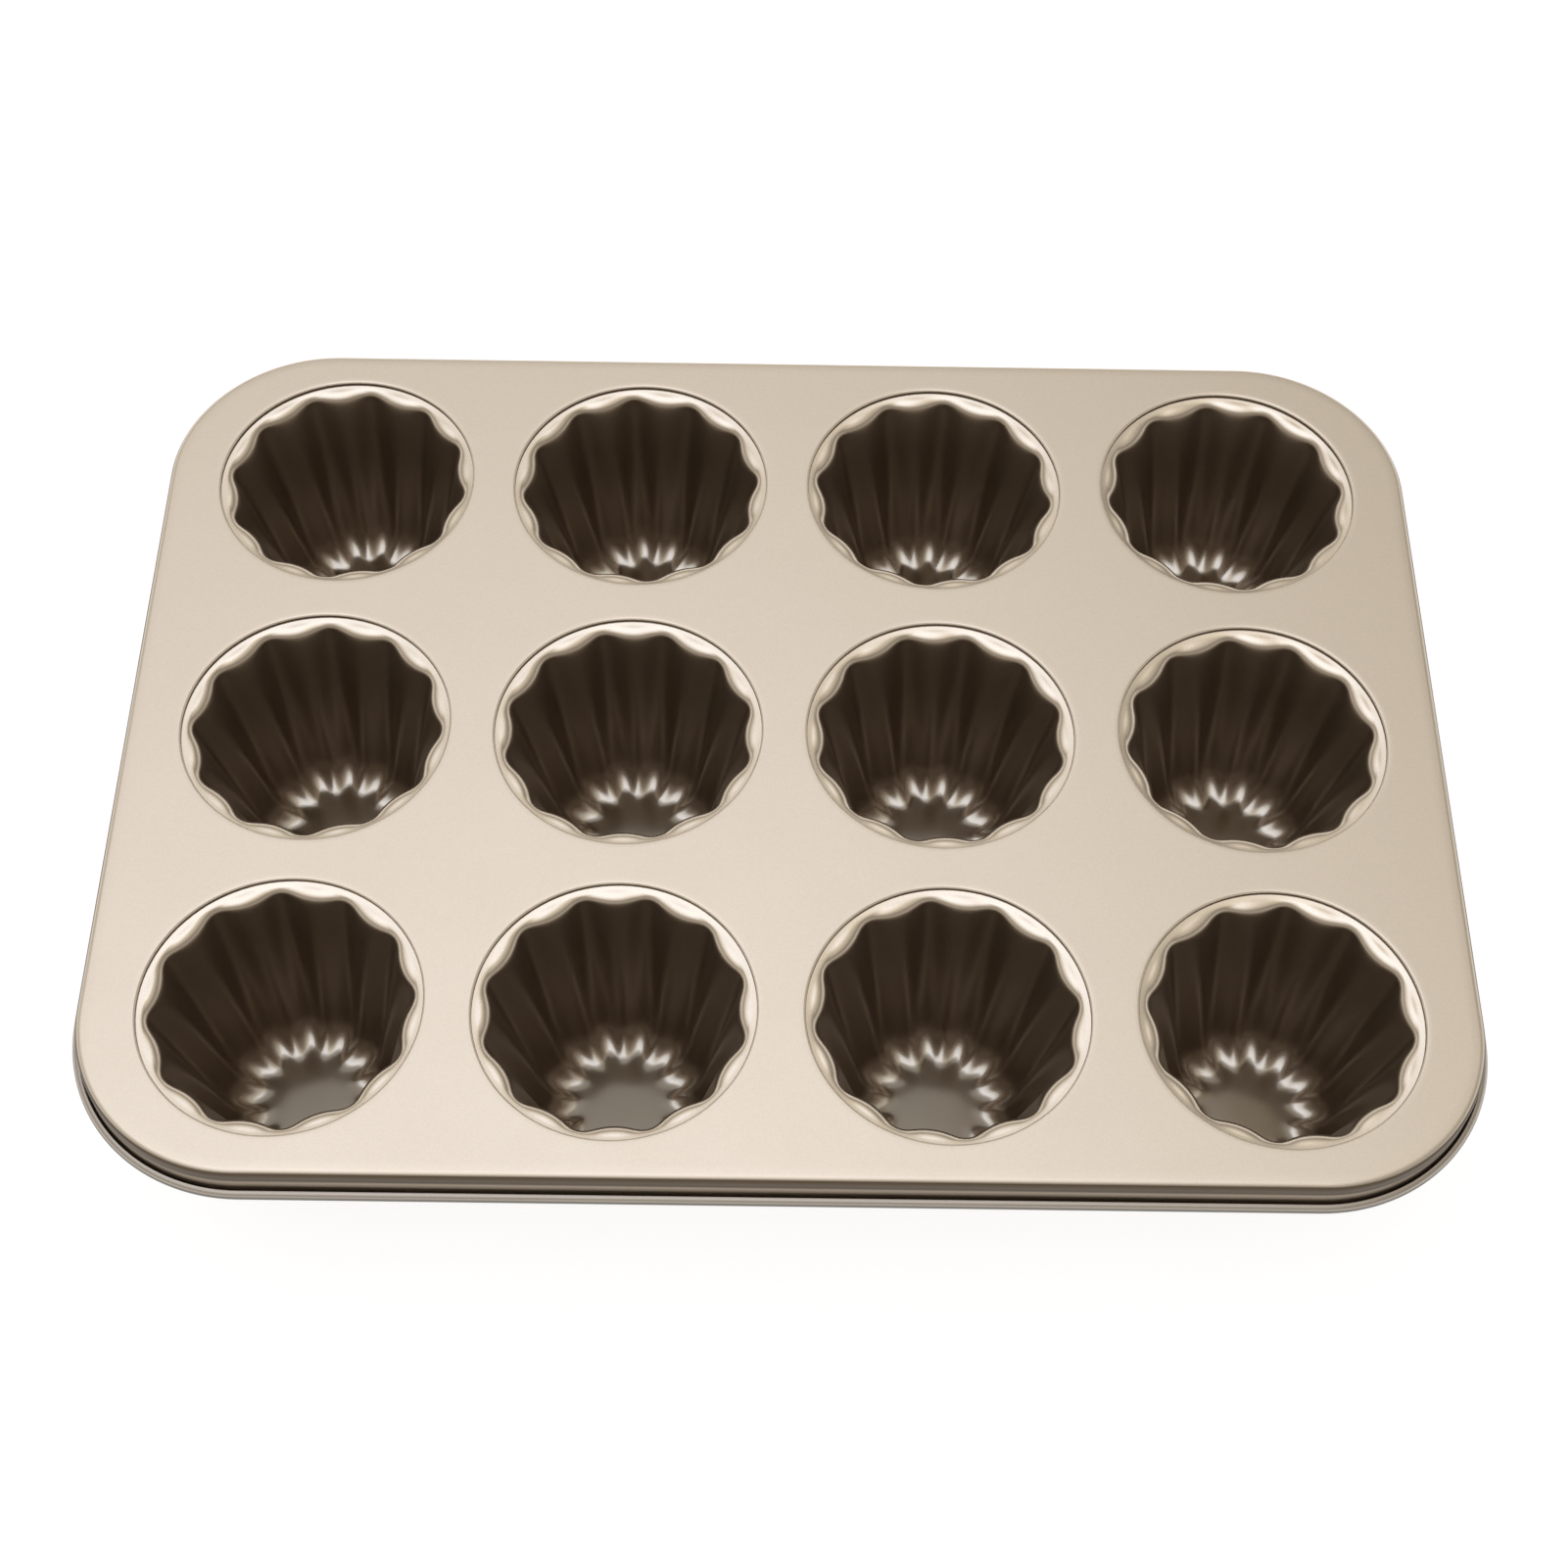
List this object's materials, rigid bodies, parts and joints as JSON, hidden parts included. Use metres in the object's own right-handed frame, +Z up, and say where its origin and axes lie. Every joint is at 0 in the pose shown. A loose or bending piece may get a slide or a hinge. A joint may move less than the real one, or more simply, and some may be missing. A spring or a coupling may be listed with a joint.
{
  "type": "muffin pan",
  "caption": "Rectangular baking pan with deep fluted cups set in a flat tray with round corners and a curled rim",
  "frame": {"origin": "on the floor under the middle of the tray", "axes": "X along the long side, Y from the front edge to the back edge, Z up"},
  "size_m": [0.3206, 0.2374, 0.0506],
  "materials": {
    "tray_coating": "champagne-gold non-stick coating on steel, satin",
    "cup_coating": "champagne-gold non-stick coating on steel, satin"
  },
  "bodies": {
    "root": {"tray_sheet": "tray_coating", "cup_r1_c1": "cup_coating", "cup_r1_c2": "cup_coating", "cup_r1_c3": "cup_coating", "cup_r1_c4": "cup_coating", "cup_r2_c1": "cup_coating", "cup_r2_c2": "cup_coating", "cup_r2_c3": "cup_coating", "cup_r2_c4": "cup_coating", "cup_r3_c1": "cup_coating", "cup_r3_c2": "cup_coating", "cup_r3_c3": "cup_coating", "cup_r3_c4": "cup_coating"}
  },
  "joints": []
}
